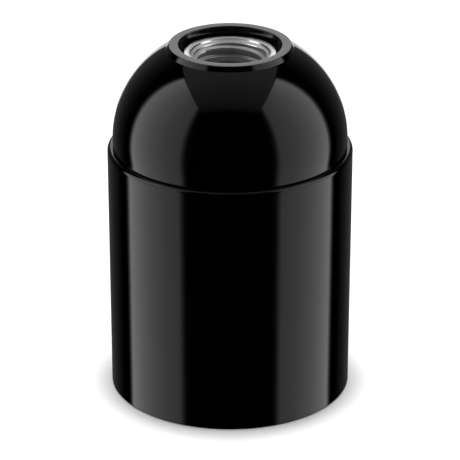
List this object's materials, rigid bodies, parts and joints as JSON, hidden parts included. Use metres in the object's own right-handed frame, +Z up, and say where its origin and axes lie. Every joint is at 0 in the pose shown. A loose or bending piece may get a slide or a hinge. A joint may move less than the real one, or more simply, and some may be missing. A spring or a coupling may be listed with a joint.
{
  "type": "lamp holder",
  "caption": "Screw-base lamp holder with a smooth cylindrical skirt, a domed cap that unscrews, a threaded metal entry on top and a ceramic contact block inside.",
  "frame": {"origin": "centre of the mouth's rim, on the plane that the rim stands on", "axes": "+Z up the holder's axis, from the lamp's mouth to the cable entry; +X through the cap's two inner keys; the live pole lies towards -Y"},
  "size_m": [0.039, 0.039, 0.058],
  "materials": {
    "black_plastic": "moulded black thermoplastic, high gloss",
    "zinc_steel": "zinc-plated, satin",
    "steatite": "unglazed off-white steatite, matt and opaque",
    "bronze": "phosphor-bronze spring strip",
    "brass": "bare brass"
  },
  "bodies": {
    "skirt": {"skirt": "black_plastic"},
    "core": {"contact_block": "steatite", "live_contact": "bronze", "neutral_contact": "bronze", "live_terminal_plate": "brass", "neutral_terminal_plate": "brass", "live_rivet": "brass", "neutral_rivet": "brass"},
    "cap": {"cap": "black_plastic", "entry_bush": "zinc_steel", "bush_lock_screw": "zinc_steel"},
    "live_clamp": {"live_clamp_washer": "zinc_steel"},
    "live_screw": {"live_terminal_screw": "zinc_steel"},
    "neutral_clamp": {"neutral_clamp_washer": "zinc_steel"},
    "neutral_screw": {"neutral_terminal_screw": "zinc_steel"}
  },
  "joints": [
    {"name": "cap_turn", "type": "hinge", "parent": "skirt", "child": "core", "pos_m": [0, 0, 0.0425], "axis": [0, 0, 1], "range_deg": [0, 630]},
    {"name": "cap_rise", "type": "slide", "parent": "core", "child": "cap", "axis": [0, 0, 1], "range_m": [0, 0.00525]},
    {"name": "live_clamp_rise", "type": "slide", "parent": "core", "child": "live_clamp", "axis": [0, 0, 1], "range_m": [0, 0.0018]},
    {"name": "live_screw_turn", "type": "hinge", "parent": "live_clamp", "child": "live_screw", "pos_m": [0.0056, -0.0062, 0.0435], "axis": [0, 0, 1], "range_deg": [0, 1080]},
    {"name": "neutral_clamp_rise", "type": "slide", "parent": "core", "child": "neutral_clamp", "axis": [0, 0, 1], "range_m": [0, 0.0018]},
    {"name": "neutral_screw_turn", "type": "hinge", "parent": "neutral_clamp", "child": "neutral_screw", "pos_m": [-0.0056, 0.0062, 0.0435], "axis": [0, 0, 1], "range_deg": [0, 1080]}
  ],
  "couplings": [
    {"joint": "cap_rise", "follows": "cap_turn", "m_per_rad": 0.00047746},
    {"joint": "live_screw_turn", "follows": "live_clamp_rise", "rad_per_m": 10472},
    {"joint": "neutral_screw_turn", "follows": "neutral_clamp_rise", "rad_per_m": 10472}
  ]
}
